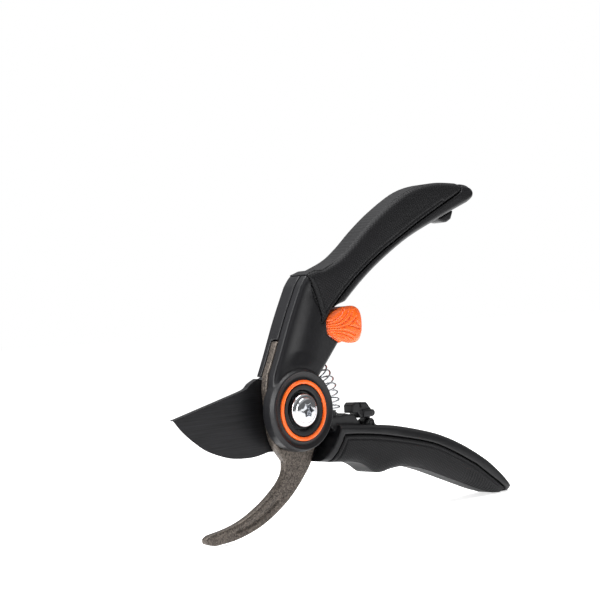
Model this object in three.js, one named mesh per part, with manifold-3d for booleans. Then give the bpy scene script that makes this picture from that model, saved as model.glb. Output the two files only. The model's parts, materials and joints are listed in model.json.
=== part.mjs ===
// A bypass pruner, standing open on the tip of its hook and the end of its lower handle.
// Millimetres, +Z up. The pruner lies in the XZ plane: handles towards +X, jaws towards -X,
// thickness along Y, with the bolt head on the -Y side. While the pieces are drawn, the pivot
// axis is at X = Z = 0 and the plane where blade and hook slide on each other is Y = 0.
import * as THREE from "three";
import { mergeVertices } from "three/addons/utils/BufferGeometryUtils.js";
import Module from "manifold-3d";

const wasm = await Module();
wasm.setup();

// ---------------------------------------------------------------- driving dimensions
const GAP = 0.3; // between pieces that touch or slide
const HOOK_Y = [-4.0, -0.15]; // the hook's steel plate
const BLADE_Y = [0.15, 3.15]; // the blade's steel plate
const UPPER_Y = [-9.7, 4.5]; // upper handle, front and back faces
const LOWER_Y = [-9.5, 5.5]; // lower handle, front and back faces
const UPPER_SPLIT = -4.15; // where the upper handle's two shells meet
const LOWER_SPLIT = 0; // where the lower handle's two shells meet
const BOSS_R = 18; // round housing over the pivot
const BOSS_FRONT_Y = -11.5;
const BACK_BOSS_R = 17.4; // the lower handle's disc behind the blade
const BACK_BOSS_Y = [3.45, 8.6];
const RING_R = [11.5, 13.2]; // coloured ring round the bolt
const HEAD_R = 7.45;
const HEAD_TOP_Y = -14;
const SHANK_R = 4;
const BUSH_R = 5.3;
const NUT_FLATS = 13;
const NUT_BACK_Y = 11.2;
const SPRING_R = 24; // radius of the spring's arc round the pivot
const COIL_R = 4.0;
const WIRE_R = 0.5;
const SPRING_TURNS = 10.5;
const SPRING_ANGLES = [-8, 70]; // degrees round the pivot, open
const MID_Y = -2.6; // middle plane of the handles and of the spring
const SHELL_BEVEL = 1.4; // rims of the hard shells
const GRIP_BEVEL = 1.2; // rims of the soft grips
const GRIP_STANDS_OUT = 0.4; // of the grips beyond the shells, front and back
const SLOT_Y = [-8.1, 1.6]; // room for the catch lever inside the upper handle when shut
const SLOT_ANGLE = 54; // degrees, how far the lower handle's catch swings up
const LOCK_PIN = [14.5, 36];
const LEVER_PIN = [45.6, -10];
const CURVE_STEPS = 4; // straight pieces for each point of a curve
const ROUND_STEPS = 32; // sides of the larger round pieces
const SMALL_STEPS = 12; // sides of pins and screws

// ---------------------------------------------------------------- finishes
const finish = (color, roughness, metalness = 0) =>
  new THREE.MeshStandardMaterial({ color, roughness, metalness });
const HARD_BLACK = finish(0x26262a, 0.5);
const SOFT_BLACK = finish(0x1b1b1e, 0.85);
const ORANGE = finish(0xff6a10, 0.4);
const COATED_BLADE = finish(0x1d1d20, 0.45, 0.4);
const GREY_STEEL = finish(0x6b625c, 0.5, 0.7);
const CHROME = finish(0xd8dadd, 0.12, 1);
const BRIGHT_STEEL = finish(0xb4b7bb, 0.3, 1);
const BRONZE = finish(0xa8834a, 0.4, 0.9);
const WHITE_NYLON = finish(0xdad8d0, 0.6);

// ---------------------------------------------------------------- tools for drawing
// Each stretch of an outline is a function that carries the shape's pen on.
const line = (...points) => (pen) => points.forEach(([x, z]) => pen.lineTo(x, z));
const curve = (...points) => (pen) =>
  pen.splineThru(points.map(([x, z]) => new THREE.Vector2(x, z)));
const arc = (cx, cz, r, fromDeg, toDeg, clockwise = false) => (pen) =>
  pen.absarc(cx, cz, r, rad(fromDeg), rad(toDeg), clockwise);
const rad = (deg) => THREE.MathUtils.degToRad(deg);
const wider = ([y0, y1], by) => [y0 - by, y1 + by];
const polar = (r, deg) => [r * Math.cos(rad(deg)), r * Math.sin(rad(deg))];

function outline(start, ...stretches) {
  const shape = new THREE.Shape();
  shape.moveTo(...start);
  stretches.forEach((stretch) => stretch(shape));
  return shape;
}

// An outline in XZ with thickness from y0 (front) to y1 (back). bevel chamfers both rims
// and grow offsets the whole outline.
function slab(shape, [y0, y1], { bevel = 0, grow = 0 } = {}) {
  const edge = bevel || (grow ? 0.01 : 0);
  const g = new THREE.ExtrudeGeometry(shape, {
    depth: y1 - y0 - 2 * edge,
    bevelEnabled: edge > 0,
    bevelThickness: edge,
    bevelSize: edge,
    bevelOffset: grow - edge,
    bevelSegments: 1,
    curveSegments: CURVE_STEPS,
  });
  g.rotateX(Math.PI / 2);
  g.translate(0, y1 - edge, 0);
  return solid(g);
}

// A turned piece about an axis along Y through (x, z). The profile is a list of [radius, y].
function turned(profile, [x, z] = [0, 0], sides = ROUND_STEPS) {
  const g = new THREE.LatheGeometry(profile.map(([r, y]) => new THREE.Vector2(r, y)), sides);
  g.translate(x, 0, z);
  return solid(g);
}

const rod = (r, [y0, y1], at, sides = SMALL_STEPS) =>
  turned([[0, y0], [r, y0], [r, y1], [0, y1]], at, sides);

const washer = (r0, r1, [y0, y1], at, sides) =>
  turned([[r0, y0], [r1, y0], [r1, y1], [r0, y1], [r0, y0]], at, sides);

const hexagon = (flats, [y0, y1], at) =>
  rod(flats / Math.sqrt(3), [y0, y1], at, 6);

// A closed geometry as a manifold-3d solid, turned right side out if its profile ran backwards.
function solid(geometry) {
  const bare = geometry.index ? geometry.toNonIndexed() : geometry;
  const points = new THREE.BufferGeometry();
  points.setAttribute("position", bare.getAttribute("position"));
  const merged = mergeVertices(points, 1e-4);
  const triVerts = new Uint32Array(merged.index.array);
  const vertProperties = new Float32Array(merged.attributes.position.array);
  const made = new wasm.Manifold(new wasm.Mesh({ numProp: 3, vertProperties, triVerts }));
  if (made.volume() >= 0) return made;
  for (let i = 0; i < triVerts.length; i += 3) {
    [triVerts[i + 1], triVerts[i + 2]] = [triVerts[i + 2], triVerts[i + 1]];
  }
  return new wasm.Manifold(new wasm.Mesh({ numProp: 3, vertProperties, triVerts }));
}

const join = (...solids) => solids.reduce((a, b) => a.add(b));
const cut = (body, ...tools) => tools.reduce((a, b) => a.subtract(b), body);
const common = (a, b) => a.intersect(b);

function geometryOf(piece) {
  const { vertProperties, triVerts, numProp } = piece.getMesh();
  const g = new THREE.BufferGeometry();
  const positions = new Float32Array((vertProperties.length / numProp) * 3);
  for (let i = 0; i < positions.length / 3; i++) {
    for (let k = 0; k < 3; k++) positions[3 * i + k] = vertProperties[numProp * i + k];
  }
  g.setAttribute("position", new THREE.BufferAttribute(positions, 3));
  g.setIndex(new THREE.BufferAttribute(new Uint32Array(triVerts), 1));
  g.computeVertexNormals();
  return g;
}

const pruner = new THREE.Group();
function add(name, piece, material) {
  const mesh = new THREE.Mesh(geometryOf(piece), material);
  mesh.name = name;
  pruner.add(mesh);
}

// A slab between two planes, much wider than the pruner, to keep one layer of a piece.
const layer = (y0, y1) => {
  const g = new THREE.BoxGeometry(400, y1 - y0, 400);
  g.translate(0, (y0 + y1) / 2, 0);
  return solid(g);
};

// A wedge of a ring round the pivot, from one radius and angle to another.
function sector([r0, r1], [a0, a1], ys) {
  const shape = outline(polar(r0, a0), line(polar(r1, a0)), arc(0, 0, r1, a0, a1),
    line(polar(r0, a1)), arc(0, 0, r0, a1, a0, true));
  return slab(shape, ys);
}

// ---------------------------------------------------------------- outlines of the upper handle
const upperOuter = [[19, 60.2], [29, 64.6], [38, 70.4], [48, 78.2], [60, 86.3], [74.5, 94.2],
  [86, 98], [98.5, 99.6], [112, 99.4]];
const upperInner = [[110, 87.2], [97, 82.3], [75.6, 73.8], [57, 63.8], [43, 54.6], [28.8, 43.4]];
const upperShape = outline([-14.2, 11.2],
  line([-13.2, 16.2]),
  curve([-9.2, 24.4], [-2.1, 39.6], [5.6, 54]),
  curve([10, 58.8], [14.6, 60.2]),
  curve(...upperOuter),
  curve([119.5, 98.8], [123.6, 96.4], [123.2, 93], [118.5, 90.2]),
  curve(...upperInner),
  line([26.5, 28.4], [18.5, 19.8], [13, 14], [0, 0]));

const gripSeam = [[99.6, 88.9], [83.4, 81.3], [67.7, 73.3], [53, 65.4], [36.8, 54.8], [22.8, 43.2]];
const upperGripShape = outline([15.7, 35.8],
  line([16.6, 40]),
  curve([15.6, 44.6], [13.5, 51]),
  line([9.4, 59], [14.6, 60.7], [19, 60.9]),
  curve([29, 64.9], [38, 70.7], [48, 78.5], [60, 86.6], [74.5, 94.5], [86, 98.3],
    [98.5, 99.9], [112, 99.7]),
  line([115.6, 98.4], [114.6, 95.8], [108, 92.6]),
  curve(...gripSeam));

// The hard core under the soft grip: thinner, and set back from the handle's outer edge.
const UPPER_WEB_Y = [-6.4, 1.2];
const upperWebShape = outline([13, 37],
  line([11, 52]),
  curve([20, 56.6], [33, 62], [43, 68.6], [54, 77], [66, 84.6], [80, 90.6], [98, 93.8],
    [110, 93.6]),
  line([110, 90]),
  curve([99, 85.4], [83.4, 79], [67.7, 71.2], [53.4, 63.4], [37.4, 52.6], [24.5, 41]),
  line([17, 37]));

// ---------------------------------------------------------------- the thumb catch
// A rounded orange pad in a notch of the handle's inner edge. Its fork straddles the catch
// lever of the lower handle when the pruner is shut.
const padShape = outline([19.2, 32.2],
  curve([19.2, 36.6], [21.4, 40.2], [27.4, 43.1], [35.4, 43.8], [39.8, 41.8], [41.2, 37.2],
    [40.6, 31.2], [37.6, 27.6], [31.6, 27.3], [24.2, 29.2]));
const LOCK_TURN = 5; // degrees that the catch is pushed up to let go
const PAD_Y = [-10.7, 5.5];

function thumbCatch() {
  const pad = slab(padShape, PAD_Y, { bevel: 1.6 });
  const neckShape = outline([14.5, 33.4], line([23, 32]), line([23, 38]), line([14.5, 38.6]),
    arc(...LOCK_PIN, 2.6, 90, 270));
  const neck = slab(neckShape, [MID_Y - 2, MID_Y + 2]);
  const fork = sector([28, 70], [-20, SLOT_ANGLE], SLOT_Y);
  const pinHole = rod(1.3, [-20, 20], LOCK_PIN);
  return cut(join(pad, neck), fork, pinHole);
}

// The room the pad needs in the shells at rest and pushed up.
function padRoom() {
  const rest = slab(padShape, [-30, 30], { grow: 0.6 });
  const turn = new THREE.Matrix4()
    .makeTranslation(LOCK_PIN[0], 0, LOCK_PIN[1])
    .multiply(new THREE.Matrix4().makeRotationY(rad(-LOCK_TURN)))
    .multiply(new THREE.Matrix4().makeTranslation(-LOCK_PIN[0], 0, -LOCK_PIN[1]));
  const pushed = rest.transform(turn.elements);
  const neckRoom = rod(9.2, [MID_Y - 2.4, MID_Y + 2.4], LOCK_PIN, ROUND_STEPS);
  return join(rest, pushed, neckRoom);
}

// ---------------------------------------------------------------- the spring's room
// A tube of radius r that follows the spring's arc between two angles.
class ArcPath extends THREE.Curve {
  constructor(angles) {
    super();
    this.angles = angles;
  }
  getPoint(t) {
    const a = rad(THREE.MathUtils.lerp(...this.angles, t));
    return new THREE.Vector3(SPRING_R * Math.cos(a), MID_Y, SPRING_R * Math.sin(a));
  }
}
function arcTube(r, angles, steps) {
  const ringShape = new THREE.Shape();
  ringShape.absarc(0, 0, r, 0, 2 * Math.PI);
  return solid(new THREE.ExtrudeGeometry(ringShape,
    { extrudePath: new ArcPath(angles), steps, bevelEnabled: false, curveSegments: 8 }));
}

// ---------------------------------------------------------------- hook
// The counter blade: one steel plate with the jaw, the eye round the pivot and a tang that
// lies in the upper handle, flush with its left edge.
const hookShape = outline([-6.2, -21.6],
  curve([-6.7, -26], [-9.4, -29.9], [-14, -33.8], [-20.6, -38.2], [-29.9, -42.8],
    [-39.2, -45.6], [-50, -47.2]),
  curve([-52, -48.4], [-51.7, -50.6], [-47.6, -52]),
  curve([-36.3, -51.2], [-24.5, -48.4], [-14.8, -44.2], [-4.6, -37.8], [2.9, -31],
    [8.6, -24.4], [11.2, -18.6]),
  curve([16, -7], [16.5, 4], [12, 12], [5, 17]),
  line([5.2, 30], [9.5, 46], [5.4, 48], [-4.2, 29.9], [-6.4, 30.5]),
  curve([-9.2, 24.4], [-13.2, 16.2]),
  line([-14.4, 10.6]),
  curve([-14, 2], [-13.6, -6], [-11.6, -14], [-6.2, -21.6]));
const tangRoomShape = outline([-16, 8],
  line([12, 8], [5.5, 17], [5.7, 29.9], [10.2, 46.4], [5.2, 48.8], [-4.2, 30.8], [-8.8, 32.1],
    [-16, 16]));

function hook() {
  const plate = slab(hookShape, HOOK_Y, { bevel: 0.35 });
  const sapGroove = slab(outline([-12, -36.4],
    curve([-20, -41], [-29, -45], [-36, -46.9]),
    line([-36, -48.2]),
    curve([-28, -46.6], [-19, -43], [-11, -37.8])), [-20, HOOK_Y[0] + 0.5]);
  return cut(plate, sapGroove, rod(BUSH_R + GAP, [-20, 20], [0, 0], ROUND_STEPS));
}

// ---------------------------------------------------------------- upper handle's shells
function upperCore() {
  const body = slab(upperShape, UPPER_Y, { bevel: SHELL_BEVEL });
  const gripRoom = slab(upperGripShape, [-30, 30], { grow: GAP / 2 });
  const web = slab(upperWebShape, UPPER_WEB_Y);
  return join(cut(body, gripRoom), web);
}

const catchRoom = () => sector([30, 54.5], [-20, SLOT_ANGLE + 0.6], SLOT_Y);
const springRoom = () => arcTube(COIL_R + WIRE_R + 0.6, [30, SPRING_ANGLES[1] + 2.6], 12);
const upperScrews = [[8.4, 52.2], [44, 63.2], [92, 88.4]];

function boss() {
  const y = BOSS_FRONT_Y;
  return turned([[0, y], [15.7, y], [17.2, y + 0.7], [BOSS_R, y + 2.2], [BOSS_R, UPPER_SPLIT - GAP / 2],
    [0, UPPER_SPLIT - GAP / 2]]);
}

function upperFrontShell() {
  const shell = common(upperCore(), layer(-30, UPPER_SPLIT - GAP / 2));
  const ringGroove = washer(RING_R[0] - GAP, RING_R[1] + GAP, [-30, BOSS_FRONT_Y + 1.3]);
  const dish = rod(RING_R[0] - 0.6, [-30, BOSS_FRONT_Y + 3.2], [0, 0], ROUND_STEPS);
  const bolt = rod(SHANK_R + GAP, [-30, 30], [0, 0], ROUND_STEPS);
  const screwHoles = upperScrews.map((at) => rod(1.5, [-6, 30], at));
  const pinHole = rod(1.4, [-8, 30], LOCK_PIN);
  return cut(join(shell, boss()), ringGroove, dish, bolt, springRoom(), catchRoom(), padRoom(),
    pinHole, ...screwHoles);
}

function upperBackShell() {
  const shell = common(upperCore(), layer(UPPER_SPLIT + GAP / 2, 30));
  const pivotRoom = rod(BOSS_R + 0.4, [-30, 30], [0, 0], ROUND_STEPS);
  const tangRoom = slab(tangRoomShape, [-30, HOOK_Y[1] + GAP]);
  const spineRoomShape = outline([-40, -20], line([20, -20], [20, 12], [-12.9, 15.6], [-40, 8]));
  const spineRoom = slab(spineRoomShape, [-30, 30]);
  const screwHoles = upperScrews.map((at) => rod(1.5, [-30, 30], at));
  const headRooms = upperScrews.map((at) => rod(2.9, [2.4, 30], at));
  const pinHole = rod(1.4, [-30, 3], LOCK_PIN);
  return cut(shell, pivotRoom, tangRoom, spineRoom, springRoom(), catchRoom(), padRoom(), pinHole,
    ...screwHoles, ...headRooms);
}

function upperGrip() {
  const skin = slab(upperGripShape, wider(UPPER_Y, GRIP_STANDS_OUT), { bevel: GRIP_BEVEL, grow: -GAP / 2 });
  const webRoom = slab(upperWebShape, wider(UPPER_WEB_Y, GAP), { grow: GAP });
  const screwRooms = upperScrews.slice(1).map((at) => rod(3.2, [UPPER_WEB_Y[0], 30], at));
  return cut(skin, webRoom, padRoom(), ...screwRooms);
}

// ---------------------------------------------------------------- pivot
function trimRing() {
  const y = BOSS_FRONT_Y;
  const [inner, outer] = RING_R;
  return turned([[inner, y + 1], [inner, y + 0.3], [inner + 0.5, y - 0.2], [outer - 0.5, y - 0.2],
    [outer, y + 0.3], [outer, y + 1], [inner, y + 1]]);
}

function recessCup() {
  const y = BOSS_FRONT_Y;
  const inner = SHANK_R + GAP;
  const rim = RING_R[0] - 0.9;
  return turned([[inner, y + 2.9], [rim, y + 2.9], [rim, y + 0.4], [rim - 1, y + 0.4],
    [HEAD_R + 0.6, y + 2], [inner, y + 2], [inner, y + 2.9]]);
}

function pivotBolt() {
  const under = BOSS_FRONT_Y + 1.7;
  const top = HEAD_TOP_Y;
  const body = turned([[0, top], [3.6, top + 0.1], [5.6, top + 0.7], [6.9, top + 1.7], [HEAD_R, top + 2.9],
    [HEAD_R, under], [SHANK_R, under], [SHANK_R, NUT_BACK_Y - 1.8], [0, NUT_BACK_Y - 1.8]]);
  return cut(body, hexagon(6, [-30, top + 3.2], [0, 0]));
}

const pivotBush = () =>
  washer(SHANK_R + GAP, BUSH_R, [HOOK_Y[0] + 0.1, BLADE_Y[1] - 0.1]);

function pivotNut() {
  const y0 = NUT_BACK_Y - 3.6;
  const body = common(hexagon(NUT_FLATS, [y0, NUT_BACK_Y], [0, 0]),
    turned([[0, y0], [8, y0], [8, NUT_BACK_Y - 0.8], [6.3, NUT_BACK_Y], [0, NUT_BACK_Y]]));
  return cut(body, rod(SHANK_R + GAP, [-30, NUT_BACK_Y - 1.5]));
}

// ---------------------------------------------------------------- blade
const bladeShape = outline([-62.5, 1.4],
  line([-26.4, 9.9]),
  curve([-22, 11.2], [-19.4, 13.2], [-15.4, 15]),
  line([-10, 13.2]),
  curve([0, 16.8], [10, 13.4], [16.6, 2.4]),
  curve([17.8, -4], [25, -9.8], [38, -14.5], [62, -19.5]),
  curve([66, -21.6], [65, -25], [60, -25.5]),
  curve([40, -22.5], [22, -19], [10, -16.6]),
  curve([0, -17.6], [-11.7, -17]),
  curve([-20.4, -18.3], [-29.9, -17.9], [-36.9, -16.4], [-45.8, -12.9], [-52.3, -8.6],
    [-58.2, -3.6], [-62.5, 1.4]));
const EDGE_WIDTH = 4.2; // of the ground bevel along the cutting edge
const EDGE_DEPTH = 0.85; // how much of the thickness the grinding takes at the edge
const RIVETS = [[40, -18.4], [56, -21.8]];

function blade() {
  const plate = slab(bladeShape, BLADE_Y);
  // The grinding removes a long wedge on the side away from the hook.
  const steps = [0, 1, 2, 3, 4];
  const edge = [[-64.5, 4.6], [-58.2, -3.6], [-52.3, -8.6], [-45.8, -12.9], [-36.9, -16.4],
    [-29.9, -17.9], [-21, -18.2]];
  const stepHeight = (BLADE_Y[1] - BLADE_Y[0]) * EDGE_DEPTH / steps.length;
  const low = edge.map(([x, z]) => [x - 3, z - 9]);
  const ground = steps.map((i) => {
    const width = EDGE_WIDTH * (1 - (i + 0.5) / steps.length);
    const high = edge.map(([x, z]) => [x + 0.45 * width, z + 0.9 * width]).reverse();
    const wedge = outline(low[0], line(...low.slice(1), high[0]), curve(...high.slice(1)));
    const top = BLADE_Y[1] - i * stepHeight;
    return slab(wedge, [top - stepHeight, top + 0.001]);
  });
  const holes = RIVETS.map((at) => rod(2, [-20, 20], at));
  return cut(plate, ...ground, rod(BUSH_R + GAP, [-20, 20], [0, 0], ROUND_STEPS), ...holes);
}

// ---------------------------------------------------------------- lower handle
const COLLAR_R = 25.4;
const lowerShape = outline([19, -8.4],
  line([44, -10.6]),
  curve([58, -12.4], [72.8, -15.4], [90.1, -20.1], [106.5, -26.9], [122.5, -35.8]),
  line([132.6, -43.6], [138.8, -50], [136, -52.6], [125, -52]),
  curve([114.7, -48.9], [96.9, -42.1], [79.6, -35.6], [70.9, -33], [62.6, -31.6],
    [54.2, -31.7], [48.2, -32.5], [43.3, -31.9], [38.4, -28.6], [34.1, -26.6], [28.6, -25.5]),
  line([9, -23.4]));

const GRIP_START_R = 28.8; // the collar's rim, where the lower grip begins
const lowerGripShape = outline([18, -12.8],
  line([33, -13.7]),
  curve([49.8, -15.9], [78.4, -21.9], [93.9, -27.5], [112, -36.4]),
  line([131.5, -49.6], [133.6, -51.4], [130.6, -52.9], [125, -52.4]),
  curve([114.7, -49.2], [96.9, -42.4], [79.6, -35.9], [70.9, -33.3], [62.6, -31.9],
    [54.2, -32], [48.2, -32.8], [43.3, -32.2], [38.4, -28.9], [34.1, -26.9], [28.6, -25.8]),
  line([9, -23.8]));
const gripStart = (r) => rod(r, [-30, 30], [0, 0], ROUND_STEPS);

const LOWER_WEB_Y = [-6.2, 4];
const lowerWebShape = outline([20, -11.6],
  line([30, -11.5]),
  curve([49.8, -13.9], [78.4, -19.9], [93.9, -25.2], [112, -33.8], [126, -43.5]),
  line([124, -47]),
  curve([114, -43.6], [96.9, -37.6], [79.6, -31.4], [66, -28.2], [54.2, -27.6], [40, -24.6],
    [30, -21.8]),
  line([17, -20.6]));
const lowerScrews = [[74, -25.4], [108, -38]];

const lowerGripRoom = () =>
  cut(slab(lowerGripShape, [-30, 30], { grow: GAP / 2 }), gripStart(GRIP_START_R - GAP / 2));

function lowerCore() {
  const body = slab(lowerShape, LOWER_Y, { bevel: SHELL_BEVEL });
  return join(cut(body, lowerGripRoom()), slab(lowerWebShape, LOWER_WEB_Y));
}

// The narrow block on the rail: it takes the spring's end and carries the catch lever.
const BLOCK_Y = [-6, 1];
const EAR_Y = [[-6, -4.4], [-0.8, 1]];
function leverBlock() {
  const blockShape = outline([20.4, -9.4],
    line([21, -4.9], [34.6, -4.9], [38.4, -9], [40, -13], [24, -13]));
  const block = slab(blockShape, BLOCK_Y);
  const ear = outline([39, -12.6],
    line([39, -11.6], [44.2, -8.2]),
    arc(...LEVER_PIN, 2.3, 115, 0, true),
    line([48.6, -13]));
  const toothShape = (x) => outline([x, -5.2], line([x + 0.5, -4], [x + 1, -5.2]));
  const teeth = [28, 29.3, 30.6].map((x) => slab(toothShape(x), BLOCK_Y));
  return join(block, ...EAR_Y.map((ys) => slab(ear, ys)), ...teeth);
}

const collarRoom = () => rod(COLLAR_R, [-30, LOWER_SPLIT], [0, 0], ROUND_STEPS);
const legRoom = () => rod(2.6, [EAR_Y[0][1], EAR_Y[1][0]], LEVER_PIN);
const leverPinHole = () => rod(1.3, [-30, 30], LEVER_PIN);

function lowerFrontShell() {
  const handle = join(cut(lowerCore(), collarRoom()), leverBlock());
  const shell = common(handle, layer(-30, LOWER_SPLIT - GAP / 2));
  const screwHoles = lowerScrews.map((at) => rod(1.5, [-5, 30], at));
  const rivetHoles = RIVETS.map((at) => rod(2, [-3.4, 30], at));
  return cut(shell, leverPinHole(), legRoom(), seatHole(), ...screwHoles, ...rivetHoles);
}

function lowerBackShell() {
  const handle = common(join(lowerCore(), leverBlock()), layer(LOWER_SPLIT + GAP / 2, 30));
  const [front, back] = BACK_BOSS_Y;
  const disc = turned([[0, front], [BACK_BOSS_R, front], [BACK_BOSS_R, back - SHELL_BEVEL],
    [BACK_BOSS_R - SHELL_BEVEL, back], [0, back]]);
  const armShape = outline([12, 12],
    line([17, -1.8], [23, -8.6], [34, -12], [34, -24], [12.6, -24.4]),
    curve([4, -20], [0, -17]),
    line([0, 0]));
  const arm = cut(slab(armShape, [BACK_BOSS_Y[0], LOWER_Y[1]]), lowerGripRoom());
  const tangRoom = slab(bladeShape, [-30, BLADE_Y[1] + GAP], { grow: GAP });
  const nutRoom = rod(9.2, [6.6, 30], [0, 0], ROUND_STEPS);
  const bolt = rod(SHANK_R + GAP, [-30, 30], [0, 0], ROUND_STEPS);
  const screwHoles = lowerScrews.map((at) => rod(1.5, [-30, 30], at));
  const headRooms = lowerScrews.map((at) => rod(2.9, [2.2, 30], at));
  const rivetHoles = RIVETS.map((at) => rod(2, [-30, 4.6], at));
  return cut(join(handle, disc, arm), tangRoom, nutRoom, bolt, leverPinHole(), legRoom(),
    seatHole(), ...screwHoles, ...headRooms, ...rivetHoles);
}

function lowerGrip() {
  const skin = slab(lowerGripShape, wider(LOWER_Y, GRIP_STANDS_OUT), { bevel: GRIP_BEVEL, grow: -GAP / 2 });
  const webRoom = slab(lowerWebShape, wider(LOWER_WEB_Y, GAP), { grow: GAP });
  const screwRooms = lowerScrews.map((at) => rod(3.2, [LOWER_WEB_Y[0], 30], at));
  return cut(skin, gripStart(GRIP_START_R + GAP / 2), webRoom, ...screwRooms);
}

const nutWasher = () => washer(SHANK_R + GAP, 8.6, [6.8, 7.4]);

// ---------------------------------------------------------------- catch lever
const LEVER_Y = [-6.2, 0];
function catchLever() {
  const armShape = outline([34.2, -4.5],
    line([34.2, -1], [35.6, 0.2], [43.4, -0.3], [46.2, -3.6], [46.4, -7.2], [39.2, -7.2],
      [37.2, -4.5]));
  const arm = slab(armShape, LEVER_Y, { bevel: 0.5 });
  const nibShape = outline([40, -7], line([40, -3.6], [45.8, -3.8], [46.2, -7]));
  const nib = slab(nibShape, [LEVER_Y[0] - 1.2, -5], { bevel: 0.4 });
  const barrel = rod(1.6, wider(BLOCK_Y, 0.4), [46.6, -5.4]);
  const legShape = outline([43.4, -6],
    line([46.4, -6], [47.7, -10]),
    arc(...LEVER_PIN, 2.1, 0, -180, true));
  const leg = slab(legShape, [EAR_Y[0][1] + GAP, EAR_Y[1][0] - GAP]);
  const notch = slab(outline([38.6, 2], line([38.6, -2.4], [39.5, -2.4], [39.5, 2])), [-30, 30]);
  return cut(join(arm, nib, barrel, leg), notch, rod(1.3, [-30, 30], LEVER_PIN));
}

// ---------------------------------------------------------------- spring and its seats
class SpringWire extends THREE.Curve {
  getPoint(t) {
    const a = rad(THREE.MathUtils.lerp(...SPRING_ANGLES, t));
    const turn = 2 * Math.PI * SPRING_TURNS * t;
    const r = SPRING_R + COIL_R * Math.cos(turn);
    return new THREE.Vector3(r * Math.cos(a), MID_Y + COIL_R * Math.sin(turn), r * Math.sin(a));
  }
}
function mainSpring() {
  const wireShape = new THREE.Shape();
  wireShape.absarc(0, 0, WIRE_R, 0, 2 * Math.PI);
  return solid(new THREE.ExtrudeGeometry(wireShape,
    { extrudePath: new SpringWire(), steps: 84, bevelEnabled: false, curveSegments: 3 }));
}

// Pegs that centre the coil. Each follows the arc a little way from its end.
const LOWER_SEAT = [-11.5, -5];
const UPPER_SEAT = [66, 73.4];
const lowerSeat = () => arcTube(2.4, [LOWER_SEAT[0] - 2, LOWER_SEAT[1]], 4);
const seatHole = () => arcTube(2.4 + GAP, [LOWER_SEAT[0] - 3.4, LOWER_SEAT[1] + 4], 4);
const upperSeat = () => arcTube(2.4, [UPPER_SEAT[0], SPRING_ANGLES[1] + 2.2], 4);

// ---------------------------------------------------------------- small pieces
// A pan head screw driven from the back, with a slot in its head.
function screw(at, length, headY) {
  const shank = rod(1.2, [headY - length, headY], at);
  const headProfile = [[0, headY], [2.6, headY], [2.6, headY + 0.8], [1.8, headY + 1.5], [0, headY + 1.7]];
  const head = turned(headProfile, at, SMALL_STEPS);
  const [x, z] = at;
  const slotShape = outline([x - 1.7, z - 0.3],
    line([x + 1.7, z - 0.3], [x + 1.7, z + 0.3], [x - 1.7, z + 0.3]));
  return cut(join(shank, head), slab(slotShape, [headY + 0.8, headY + 3]));
}

function endBuffer() {
  const shape = outline([99.6, 82.6],
    line([101.2, 81.2]),
    curve([105, 80.8], [108.6, 82.4]),
    line([110.6, 86.6]));
  return slab(shape, [MID_Y - 4, MID_Y + 4], { bevel: 0.4 });
}

// ---------------------------------------------------------------- assembly
add("hook", hook(), GREY_STEEL);
add("upper_front_shell", upperFrontShell(), HARD_BLACK);
add("upper_back_shell", upperBackShell(), HARD_BLACK);
add("upper_grip", upperGrip(), SOFT_BLACK);
add("pivot_trim_ring", trimRing(), ORANGE);
add("bolt_recess_cup", recessCup(), SOFT_BLACK);
add("pivot_bolt", pivotBolt(), CHROME);
add("pivot_bush", pivotBush(), BRONZE);
add("pivot_nut", pivotNut(), BRIGHT_STEEL);
add("thumb_catch", thumbCatch(), ORANGE);
add("thumb_catch_pin", rod(1, [-7.6, 2.6], LOCK_PIN), BRIGHT_STEEL);
add("end_buffer", endBuffer(), SOFT_BLACK);
upperScrews.forEach((at, i) => add(`upper_screw_${i + 1}`, screw(at, 8.4, 2.7), BRIGHT_STEEL));
add("blade", blade(), COATED_BLADE);
add("lower_front_shell", lowerFrontShell(), HARD_BLACK);
add("lower_back_shell", lowerBackShell(), HARD_BLACK);
add("lower_grip", lowerGrip(), SOFT_BLACK);
add("nut_washer", nutWasher(), WHITE_NYLON);
RIVETS.forEach((at, i) => add(`blade_rivet_${i + 1}`, rod(1.7, [-3, 4.2], at), BRIGHT_STEEL));
lowerScrews.forEach((at, i) => add(`lower_screw_${i + 1}`, screw(at, 7, 2.5), BRIGHT_STEEL));
add("catch_lever", catchLever(), HARD_BLACK);
add("catch_lever_pin", rod(1, [-5.9, 0.9], LEVER_PIN), BRIGHT_STEEL);
add("main_spring", mainSpring(), BRIGHT_STEEL);
add("lower_spring_seat", lowerSeat(), HARD_BLACK);
add("upper_spring_seat", upperSeat(), HARD_BLACK);

// The finished pruner stands on Z = 0 with its box centred on the origin.
const box = new THREE.Box3().setFromObject(pruner);
const middle = box.getCenter(new THREE.Vector3());
pruner.children.forEach((mesh) => mesh.position.set(-middle.x, -middle.y, -box.min.z));

export default pruner;
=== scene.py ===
# %% [markdown]
# # A bypass pruner, from its frame to its finish
# A bypass pruner cuts like scissors: a sharp blade slides past a blunt hook. This one stands
# open on the tip of its hook and on the end of its lower handle. The frame below already has
# every piece at its true size and place. These cells give the pieces that show their moulded
# roundings, seams, grooves and finishes, one piece at a time.

import json
import math

import bpy
import numpy as np
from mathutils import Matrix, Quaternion, Vector


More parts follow.
